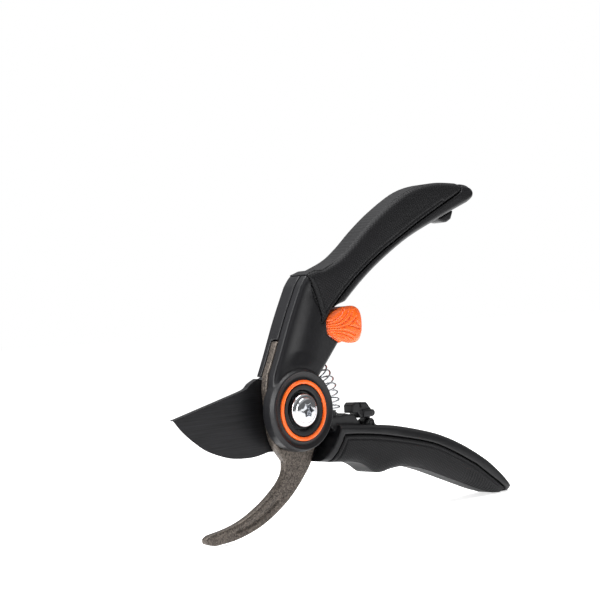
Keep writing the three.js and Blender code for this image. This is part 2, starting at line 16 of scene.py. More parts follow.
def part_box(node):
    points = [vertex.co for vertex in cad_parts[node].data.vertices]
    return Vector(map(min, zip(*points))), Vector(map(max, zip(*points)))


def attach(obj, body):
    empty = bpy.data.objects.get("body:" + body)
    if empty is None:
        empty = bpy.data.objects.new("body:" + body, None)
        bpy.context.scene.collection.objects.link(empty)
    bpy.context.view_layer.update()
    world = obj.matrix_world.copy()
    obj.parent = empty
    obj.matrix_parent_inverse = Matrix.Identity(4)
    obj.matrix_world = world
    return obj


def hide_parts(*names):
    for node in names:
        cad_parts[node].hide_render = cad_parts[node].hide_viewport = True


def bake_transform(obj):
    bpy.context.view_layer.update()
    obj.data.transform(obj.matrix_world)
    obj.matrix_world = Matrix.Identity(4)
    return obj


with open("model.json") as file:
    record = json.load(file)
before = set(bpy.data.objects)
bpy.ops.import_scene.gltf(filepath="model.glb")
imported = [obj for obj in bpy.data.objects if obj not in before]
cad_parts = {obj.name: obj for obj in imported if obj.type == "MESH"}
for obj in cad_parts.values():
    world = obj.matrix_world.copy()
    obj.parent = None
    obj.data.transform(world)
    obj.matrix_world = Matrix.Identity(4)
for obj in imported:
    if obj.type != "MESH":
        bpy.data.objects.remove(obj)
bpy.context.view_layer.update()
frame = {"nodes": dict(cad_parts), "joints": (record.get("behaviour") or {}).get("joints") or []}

# %% [markdown]
# ## Millimetres, counted from the pivot
# Blender works in metres, but a hand tool is thought of in millimetres, and everything on a
# pruner is laid out round its pivot bolt. So sizes here are in millimetres, and places are
# counted from the pivot: X towards the handle ends, Y towards the back, Z up. The pivot's own
# place comes from the joint that turns the blade.

# %% The pivot and the two scales
mm = 0.001
joints = {joint["name"]: joint for joint in frame["joints"]}
pivot = Vector(joints["blade_pivot"]["pos_m"])


def at(x, y, z):
    return pivot + Vector((x, y, z)) * mm


middle_y = -2.6
ring_front_y = -11.5
print("pivot at", [round(v / mm, 1) for v in pivot], "mm")

# %% [markdown]
# ## The camera
# The camera comes early, so that each new piece can be judged from the same place. It stands
# well back and to the left, just above the pivot, with a long lens. It looks at a point above
# the pivot, and is tilted a little to one side, as a hand-held camera is.

# %% Camera
camera_distance = 650
camera_azimuth = math.radians(-42.35)
camera_elevation = math.radians(3.88)
camera_roll = math.radians(-3.82)
flat = math.cos(camera_elevation)
direction = Vector(
    (math.sin(camera_azimuth) * flat, -math.cos(camera_azimuth) * flat, math.sin(camera_elevation))
)
bpy.ops.object.camera_add(location=at(0, ring_front_y, 0) + direction * camera_distance * mm)
camera = bpy.context.object
camera.name = "studio_camera"
aim = at(1.7, ring_front_y, 47.7) - camera.location
camera.rotation_mode = "QUATERNION"
camera.rotation_quaternion = aim.to_track_quat("-Z", "Y") @ Quaternion((0, 0, 1), camera_roll)
camera.data.lens = 90.07
camera.data.clip_start = 0.01
bpy.context.scene.camera = camera
print("camera", round(aim.length / mm), "mm from its aim")

# %% [markdown]
# ## Working on one piece at a time
# Blender's operators act on whatever is selected, and the frame arrives selected. These two
# helpers select one piece, and one set of its faces or vertices, and nothing else.


# %% Selecting
def pick(piece):
    if bpy.context.mode != "OBJECT":
        bpy.ops.object.mode_set(mode="OBJECT")
    bpy.ops.object.select_all(action="DESELECT")
    piece.select_set(True)
    bpy.context.view_layer.objects.active = piece


def select_vertices(piece, chosen):
    bpy.ops.object.mode_set(mode="EDIT")
    bpy.ops.mesh.select_mode(type="VERT")
    bpy.ops.mesh.select_all(action="DESELECT")
    bpy.ops.object.mode_set(mode="OBJECT")
    for vertex in piece.data.vertices:
        vertex.select = bool(chosen(vertex.co))
    bpy.ops.object.mode_set(mode="EDIT")


# %% [markdown]
# ## Moulded pieces start as a skin over the frame
# A moulded handle has no sharp edge anywhere: the steel mould it came from was cut with round
# tools. The frame's solids are flat facets with knife edges. Bevelling every edge of such a
# mesh by hand is slow and tears where edges meet. A voxel remesh wraps the solid in an even
# net of small squares, and a few rounds of smoothing then round all its edges alike. The
# even net is also what lets the later cells press grooves and ridges into the surface.


# %% Skin over a frame node
def apply_all(piece):
    pick(piece)
    for name in [modifier.name for modifier in piece.modifiers]:
        bpy.ops.object.modifier_apply(modifier=name)


def copy_of(node, name):
    piece = bpy.data.objects.new(name, frame["nodes"][node].data.copy())
    bpy.context.scene.collection.objects.link(piece)
    piece.data.name = name
    pick(piece)
    bpy.ops.object.mode_set(mode="EDIT")
    bpy.ops.mesh.select_all(action="SELECT")
    bpy.ops.mesh.remove_doubles(threshold=0.001 * mm)
    bpy.ops.object.mode_set(mode="OBJECT")
    return piece


def skin_of(node, name, voxel, rounds):
    piece = copy_of(node, name)
    skin = piece.modifiers.new("skin", "REMESH")
    skin.mode = "VOXEL"
    skin.voxel_size = voxel * mm
    skin.use_smooth_shade = True
    soften = piece.modifiers.new("soften", "SMOOTH")
    soften.factor = 0.5
    soften.iterations = rounds
    apply_all(piece)
    print(name, len(piece.data.polygons), "faces")
    return piece


# %% [markdown]
# ## Pressing shapes into a skin
# The grooves, ridges and hollows of a moulded part follow lines drawn on it: an edge, a seam,
# a row of ribs. So each is described as a line, and every vertex of the skin moves by an
# amount that depends on how far it is from that line. `along` draws a smooth line through a
# few points, and `distance_to` measures from it, both in the pruner's side view.


# %% Lines and distances
def read_points(piece):
    flat_list = np.empty(3 * len(piece.data.vertices))
    piece.data.vertices.foreach_get("co", flat_list)
    return (flat_list.reshape(-1, 3) - np.array(pivot)) / mm


def write_points(piece, points):
    piece.data.vertices.foreach_set("co", (points * mm + np.array(pivot)).ravel())
    piece.data.update()


def read_normals(piece):
    flat_list = np.empty(3 * len(piece.data.vertices))
    piece.data.vertex_normals.foreach_get("vector", flat_list)
    return flat_list.reshape(-1, 3)


def along(points, steps=6):
    p = np.array([points[0], *points, points[-1]], float)
    line = []
    for a, b, c, d in zip(p[:-3], p[1:-2], p[2:-1], p[3:]):
        for t in np.arange(steps) / steps:
            line.append(b + 0.5 * t * (c - a + t * (2 * a - 5 * b + 4 * c - d + t * (3 * (b - c) + d - a))))
    return np.array([*line, p[-1]])


def distance_to(line, points):
    best = np.full(len(points), 1e9)
    p = points[:, [0, 2]]
    for a, b in zip(line[:-1], line[1:]):
        edge = b - a
        t = np.clip(((p - a) @ edge) / max(edge @ edge, 1e-9), 0, 1)
        best = np.minimum(best, np.linalg.norm(p - a - t[:, None] * edge, axis=1))
    return best


def fade(value, start, end):
    t = np.clip((value - start) / (end - start), 0, 1)
    return t * t * (3 - 2 * t)


def groove(distance, width):
    return np.clip(1 - (2 * distance / width) ** 2, 0, 1)


# %% [markdown]
# ## Handing a piece over
# A finished piece moves with one body of the frame, stands for the frame node it was made
# from, and takes its colour from one of the finishes made below. Its object stays at the
# origin, with its place in its mesh, as the frame's nodes have.


# %% Hand over
def hand_over(piece, body, material, finish, *nodes):
    piece.data.materials.clear()
    piece.data.materials.append(material)
    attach(piece, body)
    if nodes:
        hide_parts(*nodes)


# %% [markdown]
# ## Finishes: two helpers
# Colours are written as the hex values that a paint card or a screen shows, and one function
# turns them to the linear light values that the renderer adds up. The other adds a shader
# node with its settings and its links in one line, so that each finish reads as a recipe.


# %% Colour and node helpers
def linear(hex_colour):
    values = [int(hex_colour[i : i + 2], 16) / 255 for i in (1, 3, 5)]
    return [v / 12.92 if v <= 0.04045 else ((v + 0.055) / 1.055) ** 2.4 for v in values] + [1.0]


def add_node(tree, kind, settings, links):
    made = tree.nodes.new(kind)
    for name, value in settings.items():
        if isinstance(name, str) and hasattr(made, name):
            setattr(made, name, value)
        else:
            made.inputs[name].default_value = value
    for name, source in links.items():
        tree.links.new(source, made.inputs[name])
    return made


def new_finish(name, **shader):
    material = bpy.data.materials.new(name)
    material.use_nodes = True
    tree = material.node_tree
    surface = tree.nodes["Principled BSDF"]
    for socket, value in shader.items():
        surface.inputs[socket.replace("_", " ")].default_value = value
    place = add_node(tree, "ShaderNodeTexCoord", {}, {}).outputs["Object"]
    return material, tree, surface, place


wave_length = 2 * math.pi / 20  # of Blender's wave texture at scale 1

# %% [markdown]
# ## Glass-filled nylon
# The shells are injection-moulded nylon with glass fibre. The mould was spark-eroded, which
# leaves a fine even grain, so the surface is dark and satin, and its highlights are broad.
# The real grain is about 0.1 mm; here it is drawn at 0.5 mm so that it can show at all.

# %% Finish: hard black plastic
hard_plastic, tree, surface, place = new_finish(
    "moulded_glass_filled_nylon", Roughness=0.4, IOR=1.53, Specular_IOR_Level=0.3
)
grain = add_node(tree, "ShaderNodeTexNoise", {"Scale": 1 / (0.5 * mm), "Detail": 4.0}, {"Vector": place})
cloud = add_node(tree, "ShaderNodeTexNoise", {"Scale": 1 / (25 * mm), "Detail": 3.0}, {"Vector": place})
tint = add_node(tree, "ShaderNodeValToRGB", {}, {"Fac": cloud.outputs["Fac"]})
tint.color_ramp.elements[0].color = linear("#0E0E10")
tint.color_ramp.elements[1].color = linear("#141417")
tree.links.new(tint.outputs["Color"], surface.inputs["Base Color"])
sheen = add_node(
    tree, "ShaderNodeMapRange", {"To Min": 0.34, "To Max": 0.5}, {"Value": grain.outputs["Fac"]}
)
tree.links.new(sheen.outputs["Result"], surface.inputs["Roughness"])
pits = add_node(
    tree, "ShaderNodeBump", {"Strength": 0.22, "Distance": 0.05 * mm}, {"Height": grain.outputs["Fac"]}
)
tree.links.new(pits.outputs["Normal"], surface.inputs["Normal"])
print("finish:", hard_plastic.name)

# %% [markdown]
# ## Soft grip
# The grips are a rubbery thermoplastic moulded over the shells. It is blacker and duller than
# nylon, and its face has a fine diamond texture for grip: two sets of narrow ribs that cross.
# The ribs stand about 1.1 mm apart. Two wave patterns turned against each other draw them.

# %% Finish: soft black grip
rib_pitch = 1.1
soft_grip, tree, surface, place = new_finish(
    "overmoulded_soft_rubber", Roughness=0.62, IOR=1.5, Specular_IOR_Level=0.25
)
ribs = []
for turn in (62, -28):
    turned_place = add_node(
        tree, "ShaderNodeMapping", {"Rotation": (0, math.radians(turn), 0)}, {"Vector": place}
    )
    ribs.append(
        add_node(
            tree,
            "ShaderNodeTexWave",
            {"bands_direction": "X", "Scale": wave_length / (rib_pitch * mm), "Distortion": 0.4},
            {"Vector": turned_place.outputs["Vector"]},
        )
    )
diamonds = add_node(
    tree, "ShaderNodeMath", {"operation": "MULTIPLY"}, {0: ribs[0].outputs["Fac"], 1: ribs[1].outputs["Fac"]}
)
tint = add_node(tree, "ShaderNodeValToRGB", {}, {"Fac": diamonds.outputs["Value"]})
tint.color_ramp.elements[0].color = linear("#0B0B0D")
tint.color_ramp.elements[1].color = linear("#17171A")
tree.links.new(tint.outputs["Color"], surface.inputs["Base Color"])
relief = add_node(
    tree, "ShaderNodeBump", {"Strength": 0.5, "Distance": 0.2 * mm}, {"Height": diamonds.outputs["Value"]}
)
tree.links.new(relief.outputs["Normal"], surface.inputs["Normal"])
print("finish:", soft_grip.name, "ribs every", rib_pitch, "mm")

# %% [markdown]
# ## Orange nylon
# The thumb catch and the ring round the bolt are moulded in an unfilled, coloured nylon. It is
# glossier than the shells, and a little light goes in and comes out again, which keeps its
# shadows warm.

# %% Finish: orange plastic
orange_plastic, tree, surface, place = new_finish(
    "moulded_orange_nylon",
    Roughness=0.34,
    IOR=1.53,
    Subsurface_Weight=0.12,
    Subsurface_Scale=0.8 * mm,
    Subsurface_Radius=(1.0, 0.4, 0.15),
)
flow = add_node(tree, "ShaderNodeTexNoise", {"Scale": 1 / (9 * mm), "Detail": 2.0}, {"Vector": place})
tint = add_node(tree, "ShaderNodeValToRGB", {}, {"Fac": flow.outputs["Fac"]})
tint.color_ramp.elements[0].color = linear("#FB5E06")
tint.color_ramp.elements[1].color = linear("#FF6E12")
tree.links.new(tint.outputs["Color"], surface.inputs["Base Color"])
grain = add_node(tree, "ShaderNodeTexNoise", {"Scale": 1 / (0.6 * mm), "Detail": 2.0}, {"Vector": place})
pits = add_node(
    tree, "ShaderNodeBump", {"Strength": 0.1, "Distance": 0.05 * mm}, {"Height": grain.outputs["Fac"]}
)
tree.links.new(pits.outputs["Normal"], surface.inputs["Normal"])
print("finish:", orange_plastic.name)

# %% [markdown]
# ## Coated blade steel
# The blade is ground lengthwise and then given a thin black non-stick coating. The coating
# keeps the grinding lines, so the blade looks satin along its length and dark across it. The
# lines are noise that is stretched fifty times along the blade.

# %% Finish: black coated steel
coated_blade, tree, surface, place = new_finish(
    "black_coated_ground_steel", Roughness=0.36, Metallic=0.55
)
stretched = add_node(tree, "ShaderNodeMapping", {"Scale": (0.02, 1, 1)}, {"Vector": place})
lines = add_node(
    tree,
    "ShaderNodeTexNoise",
    {"Scale": 1 / (0.4 * mm), "Detail": 5.0, "Roughness": 0.7},
    {"Vector": stretched.outputs["Vector"]},
)
tint = add_node(tree, "ShaderNodeValToRGB", {}, {"Fac": lines.outputs["Fac"]})
tint.color_ramp.elements[0].position = 0.35
tint.color_ramp.elements[0].color = linear("#0F0F11")
tint.color_ramp.elements[1].position = 0.7
tint.color_ramp.elements[1].color = linear("#232326")
tree.links.new(tint.outputs["Color"], surface.inputs["Base Color"])
satin = add_node(
    tree, "ShaderNodeMapRange", {"To Min": 0.28, "To Max": 0.5}, {"Value": lines.outputs["Fac"]}
)
tree.links.new(satin.outputs["Result"], surface.inputs["Roughness"])
scratch = add_node(
    tree, "ShaderNodeBump", {"Strength": 0.14, "Distance": 0.03 * mm}, {"Height": lines.outputs["Fac"]}
)
tree.links.new(scratch.outputs["Normal"], surface.inputs["Normal"])
print("finish:", coated_blade.name)

# %% [markdown]
# ## Grey-brown speckled steel
# The hook has a thicker coating with metal flakes in it, like a hammered paint: a warm grey
# with lighter and darker specks of about half a millimetre. A cell pattern gives each fleck
# its own brightness, and fine noise breaks up the edges between them.

# %% Finish: grey coated steel
flake_coat, tree, surface, place = new_finish("flake_coated_steel", Roughness=0.45, Metallic=0.6)
specks = add_node(tree, "ShaderNodeTexVoronoi", {"Scale": 1 / (0.55 * mm)}, {"Vector": place})
fleck_value = add_node(tree, "ShaderNodeSeparateColor", {}, {"Color": specks.outputs["Color"]})
blur = add_node(
    tree, "ShaderNodeTexNoise", {"Scale": 1 / (0.8 * mm), "Detail": 6.0, "Roughness": 0.75}, {"Vector": place}
)
mixed = add_node(
    tree,
    "ShaderNodeMath",
    {"operation": "MULTIPLY_ADD", 1: 0.35},
    {0: fleck_value.outputs["Red"], 2: blur.outputs["Fac"]},
)
tint = add_node(tree, "ShaderNodeValToRGB", {}, {"Fac": mixed.outputs["Value"]})
tint.color_ramp.elements[0].position = 0.42
tint.color_ramp.elements[0].color = linear("#25211F")
tint.color_ramp.elements[1].position = 0.95
tint.color_ramp.elements[1].color = linear("#70675F")
tree.links.new(tint.outputs["Color"], surface.inputs["Base Color"])
orange_peel = add_node(
    tree, "ShaderNodeBump", {"Strength": 0.3, "Distance": 0.06 * mm}, {"Height": mixed.outputs["Value"]}
)
tree.links.new(orange_peel.outputs["Normal"], surface.inputs["Normal"])
print("finish:", flake_coat.name)

# %% [markdown]
# ## Bright metals
# The pivot bolt is polished and chromed, so it shows the studio like a mirror. The spring is
# bright drawn wire, and the nut, screws and pins are zinc plated: less smooth, with soft
# cloudy changes in their gloss. The bush is sintered bronze and shows only at its ends.


# %% Finishes: metals
def metal_finish(name, dark, light, smoothest, roughest, patch):
    material, tree, surface, place = new_finish(name, Metallic=1.0)
    cloud = add_node(
        tree, "ShaderNodeTexNoise", {"Scale": 1 / (patch * mm), "Detail": 4.0}, {"Vector": place}
    )
    tint = add_node(tree, "ShaderNodeValToRGB", {}, {"Fac": cloud.outputs["Fac"]})
    tint.color_ramp.elements[0].color = linear(dark)
    tint.color_ramp.elements[1].color = linear(light)
    tree.links.new(tint.outputs["Color"], surface.inputs["Base Color"])
    gloss = add_node(
        tree,
        "ShaderNodeMapRange",
        {"To Min": smoothest, "To Max": roughest},
        {"Value": cloud.outputs["Fac"]},
    )
    tree.links.new(gloss.outputs["Result"], surface.inputs["Roughness"])
    return material


chrome = metal_finish("polished_chrome", "#BDBFC3", "#D2D4D7", 0.05, 0.12, 3)
zinc = metal_finish("bright_zinc_plate", "#A9ABAE", "#C9CBCE", 0.22, 0.38, 1.5)
spring_wire = metal_finish("drawn_spring_wire", "#9FA1A5", "#C6C8CB", 0.14, 0.26, 1)
bronze = metal_finish("sintered_bronze", "#7A5A2C", "#A37B40", 0.4, 0.6, 0.6)
print("finishes:", chrome.name, zinc.name, spring_wire.name, bronze.name)

# %% [markdown]
# ## White nylon
# The washer under the nut is plain white nylon, slightly waxy.

# %% Finish: white nylon
white_nylon, tree, surface, place = new_finish("waxy_white_nylon", Roughness=0.5, IOR=1.53)
cloud = add_node(tree, "ShaderNodeTexNoise", {"Scale": 1 / (2 * mm), "Detail": 3.0}, {"Vector": place})
tint = add_node(tree, "ShaderNodeValToRGB", {}, {"Fac": cloud.outputs["Fac"]})
tint.color_ramp.elements[0].color = linear("#CFCBC0")
tint.color_ramp.elements[1].color = linear("#E2DFD6")
tree.links.new(tint.outputs["Color"], surface.inputs["Base Color"])
print("finish:", white_nylon.name)

# %% [markdown]
# ## The shape of the upper handle
# A hand closes round the handles, so their outer edges are well rounded, while the neck next
# to the blade is flatter. The rounding is measured from the handle's outline: the nearer a
# point is to it, the closer it is drawn to the middle plane. All the pieces of one handle use
# the same rounding, so their seams still meet.

# %% Outline and rounding of the upper handle
upper_left_edge = along([(-14.2, 11.2), (-9.2, 24.4), (-2.1, 39.6), (5.6, 54), (10, 58.8), (14.6, 60.2)])
upper_back_edge = along(
    [
        (10, 58.8), (14.6, 60.2), (19, 60.2), (29, 64.6), (38, 70.4), (48, 78.2), (60, 86.3), (74.5, 94.2),
        (86, 98), (98.5, 99.6), (112, 99.4), (119.5, 98.8), (122, 97.6),
    ]
)
upper_seam = along(
    [(99.6, 88.9), (83.4, 81.3), (67.7, 73.3), (53, 65.4), (36.8, 54.8), (22.8, 43.2), (15.7, 35.8)]
)
neck_seam = along([(15.7, 35.8), (16.6, 40), (15.6, 44.6), (13.5, 51), (9.8, 58.4)])


half_thickness = 7.4  # of the handles, from their middle plane


def round_off(points, outline, reach, depth, still):
    """Draws points near the outline towards the middle plane; those within still mm of it stay."""
    near = 1 - np.clip(distance_to(outline, points) / reach, 0, 1)
    drop = depth * (1 - np.sqrt(1 - near**2))
    out = points[:, 1] - middle_y
    share = np.clip((np.abs(out) - still) / (half_thickness - still), 0, 1)
    points[:, 1] -= np.sign(out) * share * drop


def shape_upper(piece):
    points = read_points(piece)
    from_pivot = np.hypot(points[:, 0], points[:, 2])
    grip_share = fade(from_pivot, 52, 75)
    boss_share = fade(from_pivot, 17.5, 21)
    round_off(points, upper_left_edge, 4.5, 1.5 * boss_share, 5.6)
    round_off(points, upper_back_edge, 8.0, 2.2 * grip_share, 3.0)
    write_points(piece, points)


print("upper handle:", len(upper_back_edge), "points along its rounded edge")

# %% [markdown]
# ## Upper front shell
# The shell that faces the camera carries the round housing over the pivot. Between its left
# edge and the housing's shoulder its face is hollowed by a long shallow trough, which catches
# the shadow. The housing's rim is a rounded ring with a shallow channel inside it.

# %% Upper front shell
front_shell = skin_of("upper_front_shell", "upper_shell_front", 0.42, 5)
points = read_points(front_shell)
radius = np.hypot(points[:, 0], points[:, 2])
rim_profile = [(13.4, -11.0), (14.2, -10.6), (15.4, -10.75), (16.3, -11.35), (16.8, -11.6)]
rim_profile += [(17.3, -11.2), (17.9, -9.9)]
on_rim = (points[:, 1] < -10.2) & (radius > 13.45) & (radius < 17.9)
rim_y = np.interp(radius, [r for r, y in rim_profile], [y for r, y in rim_profile])
points[on_rim, 1] = rim_y[on_rim]
trough_middle, trough_width, trough_depth = 9.5, 5.4, 2.0
left_edge_start, left_edge_end = np.array((-14.2, 11.2)), np.array((5.6, 54))
edge_way = (left_edge_end - left_edge_start) / np.linalg.norm(left_edge_end - left_edge_start)
from_left = (points[:, [0, 2]] - left_edge_start) @ np.array((edge_way[1], -edge_way[0]))
trough = np.exp(-(((from_left - trough_middle) / trough_width) ** 2))
trough *= fade(radius, 18.5, 26) * (1 - fade(radius, 50, 62))
on_face = points[:, 1] < -8.6
points[:, 1] += np.where(on_face, trough_depth * trough, 0)
write_points(front_shell, points)
shape_upper(front_shell)
hand_over(front_shell, "upper_handle", hard_plastic, "hard_black_plastic", "upper_front_shell")

# %% [markdown]
# ## Upper back shell
# The back shell closes the handle from behind. It is plainer, with deep round holes for the
# three screws.

# %% Upper back shell
back_shell = skin_of("upper_back_shell", "upper_shell_back", 0.42, 5)
shape_upper(back_shell)
hand_over(back_shell, "upper_handle", hard_plastic, "hard_black_plastic", "upper_back_shell")

# %% [markdown]
# ## Upper grip
# The soft grip wraps the outer side of the handle. A thin channel runs beside its seam, and
# towards the handle's end shallow ribs cross it to stop the hand from sliding off. Both are
# pressed into the skin, front and back alike.


# %% Ribs and seam lines for a grip
channel_offset, channel_width, channel_depth = 2.1, 1.3, 0.42


def press_grip(piece, seams, rib_start, rib_way, pitch=1.9, depth=0.2):
    points = read_points(piece)
    normals = read_normals(piece)
    outside = np.abs(normals[:, 1]) > 0.3
    to_seam = np.min([distance_to(seam, points) for seam in seams], axis=0)
    channel = channel_depth * groove(to_seam - channel_offset, channel_width)
    travel = points[:, [0, 2]] @ np.array(rib_way)
    ribs_on = fade(travel, rib_start, rib_start + 12) * fade(to_seam, 3, 5)
    ribs_shape = depth * ribs_on * (0.5 + 0.5 * np.sin(2 * np.pi * travel / pitch))
    points -= normals * (np.where(outside, channel + ribs_shape, 0))[:, None]
    write_points(piece, points)


upper_grip = skin_of("upper_grip", "upper_soft_grip", 0.4, 5)
shape_upper(upper_grip)
press_grip(upper_grip, [upper_seam, neck_seam], 92, (0.86, 0.5))
hand_over(upper_grip, "upper_handle", soft_grip, "soft_black_grip", "upper_grip")

# %% [markdown]
# ## End buffer
# A small soft lump under the end of the upper handle. On a real pruner it takes up the knock
# when the handles come together. A fine skin, smoothed many times, gives it its round edges.

# %% End buffer
buffer = skin_of("end_buffer", "end_buffer_pad", 0.25, 24)
hand_over(buffer, "upper_handle", hard_plastic, "soft_black_grip", "end_buffer")

# %% [markdown]
# ## The shape of the lower handle
# The lower handle has a smooth rail along its top, a collar next to the pivot and a soft grip
# below, with a bump that keeps the forefinger away from the blade.

# %% Outline and rounding of the lower handle
lower_outline = along(
    [
        (9, -23.4), (19, -8.4), (44, -10.6), (58, -12.4), (72.8, -15.4), (90.1, -20.1), (106.5, -26.9),
        (122.5, -35.8), (132.6, -43.6), (138.8, -50), (136, -52.6), (125, -52), (114.7, -48.9), (96.9, -42.1),
        (79.6, -35.6), (70.9, -33), (62.6, -31.6), (54.2, -31.7), (48.2, -32.5), (43.3, -31.9), (38.4, -28.6),
        (34.1, -26.6), (28.6, -25.5), (9, -23.4),
    ]
)
lower_seam = along(
    [(26, -13.2), (33, -13.7), (49.8, -15.9), (78.4, -21.9), (93.9, -27.5), (112, -36.4), (131.5, -49.6)]
)
collar_seam = along([(25.6, -13.2), (22.6, -17.8), (18, -22.6), (14.5, -25)])


def shape_lower(piece):
    points = read_points(piece)
    from_pivot = np.hypot(points[:, 0], points[:, 2])
    share = fade(from_pivot, 24, 34) * fade(-points[:, 2], 8, 12)
    round_off(points, lower_outline, 4.0, 1.5 * share, 4.6)
    round_off(points, lower_outline, 7.0, 2.2 * share * fade(points[:, 0], 50, 70), 3.0)
    write_points(piece, points)


print("lower outline:", len(lower_outline), "points")

# %% [markdown]
# ## Lower shells and grip
# The two lower shells hold the blade's tang between them. The front one carries the small
# block for the spring and the catch lever, and the back one ends in the round disc behind the
# blade. The grip gets its channel and its ribs as the upper one did.

# %% Lower shells and grip
lower_front = skin_of("lower_front_shell", "lower_shell_front", 0.38, 3)
shape_lower(lower_front)
hand_over(lower_front, "lower_handle", hard_plastic, "hard_black_plastic", "lower_front_shell")

lower_back = skin_of("lower_back_shell", "lower_shell_back", 0.4, 4)
shape_lower(lower_back)
hand_over(lower_back, "lower_handle", hard_plastic, "hard_black_plastic", "lower_back_shell")

lower_grip = skin_of("lower_grip", "lower_soft_grip", 0.4, 5)
shape_lower(lower_grip)
press_grip(lower_grip, [lower_seam, collar_seam], 104, (0.9, -0.43))
hand_over(lower_grip, "lower_handle", soft_grip, "soft_black_grip", "lower_grip")

# %% [markdown]
# ## Catch lever
# The small lever on the lower handle is a moulded piece with soft edges. It keeps its facets,
# so its skin is fine and only lightly smoothed.

# %% Catch lever
lever = skin_of("catch_lever", "catch_lever_body", 0.22, 4)
hand_over(lever, "catch_lever", hard_plastic, "hard_black_plastic", "catch_lever")

# %% [markdown]
# ## Hook
# The hook is one thick steel plate with blunt, slightly rounded edges. Its tang lies in the
# left edge of the upper handle. A fine skin with little smoothing keeps its faces flat.

# %% Hook
hook = skin_of("hook", "hook_plate", 0.3, 4)
hand_over(hook, "upper_handle", flake_coat, "grey_coated_steel", "hook")

# %% [markdown]
# ## Blade
# The blade is a flat plate that is ground to an edge on one side only: the side that slides
# on the hook stays flat. It is made as a grinder would: the flat front face is taken from the
# frame's blade, extruded to the plate's thickness, and along the cutting edge the back rim is
# drawn inwards, so that the wall between the two rims becomes the ground bevel.

# %% Blade
blade_front_y, blade_back_y = 0.15, 3.15
grind_width = 4.4
blade = copy_of("blade", "blade_plate")
select_vertices(blade, lambda co: (co.y - pivot.y) / mm > blade_front_y + 0.01)
bpy.ops.mesh.delete(type="VERT")
bpy.ops.mesh.select_all(action="SELECT")
bpy.ops.mesh.dissolve_limited(angle_limit=math.radians(1))
bpy.ops.mesh.select_all(action="SELECT")
bpy.ops.mesh.extrude_region_move(
    TRANSFORM_OT_translate={"value": (0, (blade_back_y - blade_front_y) * mm, 0)}
)
bpy.ops.object.mode_set(mode="OBJECT")
points = read_points(blade)
spine_z = np.interp(points[:, 0], [-62.5, -26.4, -19.4, -15], [1.4, 9.9, 13.2, 15])
edge_z = np.interp(
    points[:, 0],
    [-62.5, -58.2, -52.3, -45.8, -36.9, -29.9, -20.4, -11.7],
    [1.4, -3.6, -8.6, -12.9, -16.4, -17.9, -18.3, -17],
)
on_edge = (points[:, 1] > 3) & (points[:, 0] < -17) & (points[:, 2] < 0.35 * spine_z + 0.65 * edge_z)
room = 0.8 * (spine_z - points[:, 2])
width = np.minimum(grind_width, room) * (1 - fade(points[:, 0], -27, -17))
points[:, 2] += np.where(on_edge, 0.9 * width, 0)
points[:, 0] += np.where(on_edge, 0.3 * width, 0)
write_points(blade, points)
pick(blade)
bpy.ops.object.mode_set(mode="EDIT")
bpy.ops.mesh.select_all(action="SELECT")
bpy.ops.mesh.normals_make_consistent(inside=False)
bpy.ops.object.mode_set(mode="OBJECT")
rim = blade.modifiers.new("rim", "BEVEL")
rim.width = 0.18 * mm
rim.segments = 2
rim.limit_method = "ANGLE"
rim.angle_limit = math.radians(50)
apply_all(blade)
bpy.ops.object.shade_smooth_by_angle(angle=math.radians(24))
print("blade:", len(blade.data.polygons), "faces, ground edge", grind_width, "mm wide")
hand_over(blade, "lower_handle", coated_blade, "black_coated_steel", "blade")

# %% [markdown]
# ## Turned pieces
# The bolt, its dish, the nut and the washer were all made on a lathe. A lathe is easy to
# copy: half of the piece's outline is drawn as a chain of points, and spun round the axis.


# %% Spin an outline
def spin_up(name, profile, centre=(0, 0), steps=96):
    """A turned piece about an axis along Y; the profile is [(radius, y), ...] from the pivot."""
    x, z = centre
    bpy.ops.object.select_all(action="DESELECT")
    bpy.ops.mesh.primitive_plane_add(size=mm, location=(0, 0, 0))
    piece = bpy.context.object
    piece.name = name
    piece.data.name = name
    bpy.ops.object.mode_set(mode="EDIT")
    bpy.ops.mesh.select_all(action="SELECT")
    bpy.ops.mesh.merge(type="CENTER")
    bpy.ops.mesh.select_all(action="SELECT")
    r, y = profile[0]
    bpy.ops.transform.translate(value=at(x + r, y, z))
    for (r0, y0), (r1, y1) in zip(profile[:-1], profile[1:]):
        step = Vector((r1 - r0, y1 - y0, 0)) * mm
        bpy.ops.mesh.extrude_vertices_move(TRANSFORM_OT_translate={"value": step})
    bpy.ops.mesh.select_all(action="SELECT")
    bpy.ops.mesh.spin(steps=steps, angle=2 * math.pi, center=at(x, 0, z), axis=(0, 1, 0))
    bpy.ops.mesh.select_all(action="SELECT")
    bpy.ops.mesh.remove_doubles(threshold=0.002 * mm)
    bpy.ops.mesh.normals_make_consistent(inside=False)
    bpy.ops.object.mode_set(mode="OBJECT")
    return piece


def raised(profile, base):
    """The same outline with its heights counted from base."""
    return [(r, base + height) for r, height in profile]


def soften_edges(piece, width, segments=3, sharpest=25):
    edge = piece.modifiers.new("edge", "BEVEL")
    edge.width = width * mm
    edge.segments = segments
    edge.limit_method = "ANGLE"
    edge.angle_limit = math.radians(sharpest)
    apply_all(piece)
    bpy.ops.object.shade_smooth_by_angle(angle=math.radians(40))


# %% [markdown]
# ## Trim ring and dish
# The orange ring is a flat moulding with a rounded face, pressed into the housing. Inside it
# lies a dark dish, flat at its rim and falling steeply to the bolt.

# %% Trim ring and dish
ring_profile = [(11.5, 1), (11.5, 0.2), (11.9, -0.15), (12.4, -0.25)]
ring_profile += [(12.9, -0.15), (13.2, 0.2), (13.2, 1), (11.5, 1)]
trim_ring = spin_up("trim_ring", raised(ring_profile, ring_front_y), steps=128)
soften_edges(trim_ring, 0.12)
hand_over(trim_ring, "upper_handle", orange_plastic, "orange_plastic", "pivot_trim_ring")

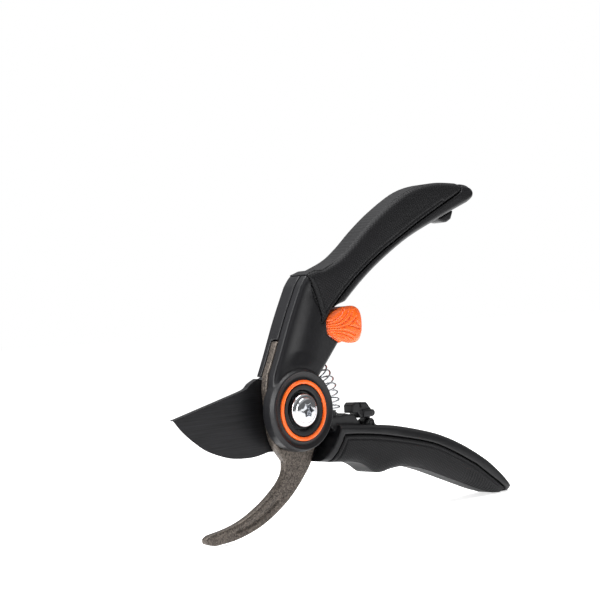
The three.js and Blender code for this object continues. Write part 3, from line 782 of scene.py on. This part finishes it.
dish_profile = [(4.4, 2.9), (10.8, 2.9), (11.1, 2.5), (11.1, 0.45), (10.9, 0.3)]
dish_profile += [(9.3, 0.42), (8.9, 0.7), (8.3, 2), (4.4, 2.1), (4.4, 2.9)]
dish = spin_up("bolt_dish", raised(dish_profile, ring_front_y), steps=128)
soften_edges(dish, 0.1)
hand_over(dish, "upper_handle", hard_plastic, "soft_black_grip", "bolt_recess_cup")

# %% [markdown]
# ## Pivot bolt
# The bolt's head is a chromed dome with a stepped rim, and a star-shaped socket in its middle
# for the driver. The dome is spun, and the star is cut out with a boolean: a cylinder whose
# every second corner is drawn inwards makes the cutter.

# %% Pivot bolt
head_y = -14
star_radius, star_depth, star_waist = 3.3, 3, 0.68
dome = [(0, 0), (2.6, 0.05), (4.2, 0.25), (5.1, 0.6), (5.5, 1.0)]
step = [(5.6, 1.35), (6.3, 1.4), (6.9, 1.75), (7.3, 2.4), (7.45, 3.1)]
under_head = raised([(7.45, 1.7), (4, 1.7)], ring_front_y)
bolt_profile = raised(dome + step, head_y) + under_head + [(4, 9.4), (0, 9.4)]
bolt = spin_up("bolt_head_and_shank", bolt_profile, steps=128)

bpy.ops.object.select_all(action="DESELECT")
bpy.ops.mesh.primitive_cylinder_add(
    vertices=12,
    radius=star_radius * mm,
    depth=2 * star_depth * mm,
    location=at(0, head_y, 0),
    rotation=(math.pi / 2, 0, 0),
)
star = bpy.context.object
bpy.ops.object.transform_apply(location=True, rotation=True, scale=True)
points = read_points(star)
corner_angle = np.degrees(np.arctan2(points[:, 2], points[:, 0]))
inner_corner = np.round(corner_angle / 30) % 2 == 1
points[:, 0] *= np.where(inner_corner, star_waist, 1)
points[:, 2] *= np.where(inner_corner, star_waist, 1)
write_points(star, points)
socket = bolt.modifiers.new("socket", "BOOLEAN")
socket.operation = "DIFFERENCE"
socket.object = star
socket.solver = "EXACT"
apply_all(bolt)
bpy.data.objects.remove(star)
soften_edges(bolt, 0.1, sharpest=30)
print("bolt:", len(bolt.data.polygons), "faces")
hand_over(bolt, "upper_handle", chrome, "chromed_steel", "pivot_bolt")

# %% [markdown]
# ## Nut and washer
# Behind, the bolt ends in a hexagon nut with chamfered corners and a closed, slightly domed
# end, on a white washer. A cylinder with six sides starts the nut. Its end face is inset and
# pushed out to make the dome, and the rest is bevelled.

# %% Nut and washer
nut_front_y, nut_back_y, nut_flats = 7.6, 11.2, 13
bpy.ops.object.select_all(action="DESELECT")
bpy.ops.mesh.primitive_cylinder_add(
    vertices=6,
    radius=nut_flats / math.sqrt(3) * mm,
    depth=(nut_back_y - 0.5 - nut_front_y) * mm,
    location=at(0, (nut_front_y + nut_back_y - 0.5) / 2, 0),
    rotation=(math.pi / 2, 0, 0),
)
nut = bpy.context.object
nut.name = "cap_nut"
bpy.ops.object.transform_apply(location=True, rotation=True, scale=True)
select_vertices(nut, lambda co: co.y > at(0, nut_back_y - 0.7, 0).y)
bpy.ops.mesh.inset(thickness=1.0 * mm)
bpy.ops.transform.translate(value=(0, 0.5 * mm, 0))
bpy.ops.object.mode_set(mode="OBJECT")
soften_edges(nut, 0.35)
hand_over(nut, "upper_handle", zinc, "zinc_plated_steel", "pivot_nut")

washer = spin_up("white_washer", [(4.3, 6.8), (8.6, 6.8), (8.6, 7.4), (4.3, 7.4), (4.3, 6.8)])
soften_edges(washer, 0.12)
hand_over(washer, "lower_handle", white_nylon, "white_nylon", "nut_washer")

# %% [markdown]
# ## Screws
# Five pan-head screws hold the shells together from behind. One is turned and gets a cross
# socket, and the others are copies of it, each with its own mesh and moved to its place.


# %% Screws
def make_screw(name, head_y, length):
    profile = [(0, head_y - length), (0.6, head_y - length), (1.2, head_y - length + 0.9), (1.2, head_y)]
    profile += [(2.5, head_y), (2.6, head_y + 0.2), (2.5, head_y + 0.9), (2.0, head_y + 1.4)]
    profile += [(0, head_y + 1.7)]
    screw = spin_up(name, profile, steps=32)
    for turn in (0, math.pi / 2):
        bpy.ops.object.select_all(action="DESELECT")
        bpy.ops.mesh.primitive_cube_add(size=mm, location=at(0, head_y + 1.5, 0), rotation=(0, turn, 0))
        bar = bpy.context.object
        bar.scale = (2.8, 1.6, 0.55)
        bpy.ops.object.transform_apply(location=True, rotation=True, scale=True)
        cross = screw.modifiers.new("cross", "BOOLEAN")
        cross.operation = "DIFFERENCE"
        cross.object = bar
        cross.solver = "EXACT"
        apply_all(screw)
        bpy.data.objects.remove(bar)
    soften_edges(screw, 0.06, segments=1)
    return screw


def place_screw(model, name, node, body):
    low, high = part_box(node)
    screw = bpy.data.objects.new(name, model.data.copy())
    bpy.context.scene.collection.objects.link(screw)
    points = read_points(screw)
    points += np.array([((low.x + high.x) / 2 - pivot.x) / mm, 0, ((low.z + high.z) / 2 - pivot.z) / mm])
    write_points(screw, points)
    hand_over(screw, body, zinc, "zinc_plated_steel", node)


long_screw = make_screw("long_screw", 2.7, 8.4)
short_screw = make_screw("short_screw", 2.5, 7)
for i in (1, 2, 3):
    place_screw(long_screw, f"shell_screw_upper_{i}", f"upper_screw_{i}", "upper_handle")
for i in (1, 2):
    place_screw(short_screw, f"shell_screw_lower_{i}", f"lower_screw_{i}", "lower_handle")
bpy.data.objects.remove(long_screw)
bpy.data.objects.remove(short_screw)
print("screws placed")

# %% [markdown]
# ## Thumb catch
# The catch is the one bright piece: a domed orange pad that the thumb pushes. Curved grooves
# fan out from its root like a shell's, and give the thumb a hold. The pad is rounded from its
# outline, as the handles were, and each groove is a line that is pressed into the skin.

# %% Thumb catch
pad_outline = along(
    [
        (19.2, 32.2), (19.2, 36.6), (21.4, 40.2), (27.4, 43.1), (35.4, 43.8), (39.8, 41.8), (41.2, 37.2),
        (40.6, 31.2), (37.6, 27.6), (31.6, 27.3), (24.2, 29.2), (19.2, 32.2),
    ]
)
pad_grooves = [
    [(19.6, 37.4), (23.4, 38.2), (27.0, 40.2), (29.4, 42.6)],
    [(19.4, 36.4), (24.6, 36.9), (29.2, 39.0), (32.0, 41.8)],
    [(19.3, 35.4), (25.4, 35.6), (30.8, 37.6), (34.2, 40.8)],
    [(19.2, 34.5), (25.4, 34.4), (31.0, 35.2), (33.8, 36.6)],
    [(19.2, 33.5), (25.2, 33.2), (30.4, 32.4), (34.6, 30.8)],
    [(19.4, 32.6), (25.0, 32.0), (29.8, 30.9), (33.4, 29.2)],
    [(20.0, 31.8), (25.0, 30.8), (28.6, 29.7), (31.2, 28.4)],
    [(31.4, 35.0), (35.2, 37.6), (36.2, 38.6)],
    [(31.4, 35.0), (34.6, 34.4), (37.4, 33.4)],
    [(36.6, 42.0), (39.0, 40.2), (39.9, 37.4)],
    [(36.2, 36.4), (38.0, 35.0), (39.6, 32.6)],
]
catch = skin_of("thumb_catch", "thumb_catch_pad", 0.24, 8)
points = read_points(catch)
pad_half, pad_flat = 8.1, 5.7  # of the pad's thickness, and of the part that isn't domed
dome_reach, dome_depth = 6.5, 2.0
groove_width, groove_depth = 1.1, 0.55
to_rim = distance_to(pad_outline, points)
near_rim = 1 - np.clip(to_rim / dome_reach, 0, 1)
out = points[:, 1] - middle_y
share = np.clip((np.abs(out) - pad_flat) / (pad_half - pad_flat), 0, 1)
points[:, 1] -= np.sign(out) * share * dome_depth * (1 - np.sqrt(1 - near_rim**2))
write_points(catch, points)
normals = read_normals(catch)
on_pad = np.abs(points[:, 1] - middle_y) > pad_flat + 0.1
press = np.zeros(len(points))
for line in pad_grooves:
    to_line = distance_to(along(line), points)
    press = np.maximum(press, groove_depth * groove(to_line, groove_width))
points -= normals * np.where(on_pad & (np.abs(normals[:, 1]) > 0.25), press, 0)[:, None]
write_points(catch, points)
hand_over(catch, "thumb_catch", orange_plastic, "orange_plastic", "thumb_catch")

# %% [markdown]
# ## Return spring
# The spring pushes the handles apart. It is a real coil of bright wire, curved round the
# pivot from a peg on the lower handle to one inside the upper handle. A path of points that
# wind round that arc gets a round section and becomes a mesh.

# %% Return spring
spring_radius, coil_radius, wire_radius = 24.0, 4.0, 0.42
spring_turns, spring_start, spring_end = 11, -8, 70
steps_per_turn = 26
count = spring_turns * steps_per_turn
spring_curve = bpy.data.curves.new("return_spring", "CURVE")
spring_curve.dimensions = "3D"
spring_curve.bevel_depth = wire_radius * mm
spring_curve.bevel_resolution = 3
spring_curve.use_fill_caps = True
path = spring_curve.splines.new("POLY")
path.points.add(count)
for i in range(count + 1):
    turns = i / steps_per_turn
    share = turns / spring_turns
    angle = math.radians(spring_start + (spring_end - spring_start) * share)
    r = spring_radius + coil_radius * math.cos(2 * math.pi * turns)
    y_wire = middle_y + coil_radius * math.sin(2 * math.pi * turns)
    path.points[i].co = (*at(r * math.cos(angle), y_wire, r * math.sin(angle)), 1)
spring = bpy.data.objects.new("return_spring", spring_curve)
bpy.context.scene.collection.objects.link(spring)
pick(spring)
bpy.ops.object.convert(target="MESH")
spring = bpy.context.object
spring.name = "return_spring_coil"
bpy.ops.object.shade_smooth()
spring.data.materials.clear()
spring.data.materials.append(spring_wire)
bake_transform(spring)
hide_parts("main_spring")
print("spring:", spring_turns, "turns,", len(spring.data.polygons), "faces")

# %% [markdown]
# ## Pieces that stay as the frame has them
# The pins, rivets, bush and spring pegs are small turned parts that hardly show. Their shapes
# in the frame are right, so they only get their finish.

# %% Finishes for the small pieces
kept = {
    "pivot_bush": bronze,
    "thumb_catch_pin": zinc,
    "catch_lever_pin": hard_plastic,
    "blade_rivet_1": zinc,
    "blade_rivet_2": zinc,
    "lower_spring_seat": hard_plastic,
    "upper_spring_seat": hard_plastic,
}
for name, material in kept.items():
    frame["nodes"][name].data.materials.clear()
    frame["nodes"][name].data.materials.append(material)
print("kept from the frame:", ", ".join(kept))

# %% [markdown]
# ## Studio
# The pruner stands on a white table that is lit from below as well as from above, as a
# product table is: this keeps it evenly white, with only a faint shadow and a faint
# reflection under the tips. The view transform is the plain one, so that white stays white
# and the orange keeps its strength.

# %% Floor
bpy.ops.object.select_all(action="DESELECT")
bpy.ops.mesh.primitive_circle_add(vertices=96, radius=6, fill_type="NGON", location=(0, 0, 0))
floor = bpy.context.object
floor.name = "studio_floor"
floor_paint, tree, surface, place = new_finish("white_table_top", Roughness=0.3)
surface.inputs["Base Color"].default_value = linear("#F7F7F7")
surface.inputs["Emission Color"].default_value = (1, 1, 1, 1)
surface.inputs["Emission Strength"].default_value = 0.7
cloud = add_node(tree, "ShaderNodeTexNoise", {"Scale": 3.0}, {"Vector": place})
gloss = add_node(
    tree, "ShaderNodeMapRange", {"To Min": 0.26, "To Max": 0.34}, {"Value": cloud.outputs["Fac"]}
)
tree.links.new(gloss.outputs["Result"], surface.inputs["Roughness"])
floor.data.materials.append(floor_paint)
bpy.context.scene.view_settings.view_transform = "Standard"
print("floor:", floor.name)

# %% [markdown]
# ## Lights
# Black plastic is drawn by what it reflects. A large soft light on the left gives the side
# walls and the edges their grey sheen, one overhead draws the top edges, and a weak, very
# broad light from above evens out the table. The room lights the object much less than it
# shows behind it, so the flat front faces stay nearly black.


# %% Lights
def soft_light(name, place_mm, size_mm, power):
    bpy.ops.object.light_add(type="AREA", location=Vector(place_mm) * mm)
    light = bpy.context.object
    light.name = name
    light.data.shape = "RECTANGLE"
    light.data.size, light.data.size_y = size_mm[0] * mm, size_mm[1] * mm
    light.data.energy = power
    towards = Vector((0, 0, 70 * mm)) - light.location
    light.rotation_euler = towards.to_track_quat("-Z", "Y").to_euler()


soft_light("left_soft_light", (-900, 100, 450), (500, 900), 13)
soft_light("top_soft_light", (0, 100, 900), (600, 600), 9)
bpy.ops.object.light_add(type="SUN", location=(0, 0, 2))
overhead = bpy.context.object
overhead.name = "overhead_sky"
overhead.data.energy = 0.9
overhead.data.angle = math.radians(120)

world = bpy.data.worlds.new("studio_white")
bpy.context.scene.world = world
world.use_nodes = True
sky = world.node_tree.nodes["Background"]
sky.inputs["Color"].default_value = (1, 1, 1, 1)
seen = add_node(world.node_tree, "ShaderNodeLightPath", {}, {})
brightness = add_node(
    world.node_tree,
    "ShaderNodeMapRange",
    {"To Min": 0.2, "To Max": 1.0},
    {"Value": seen.outputs["Is Camera Ray"]},
)
world.node_tree.links.new(brightness.outputs["Result"], sky.inputs["Strength"])
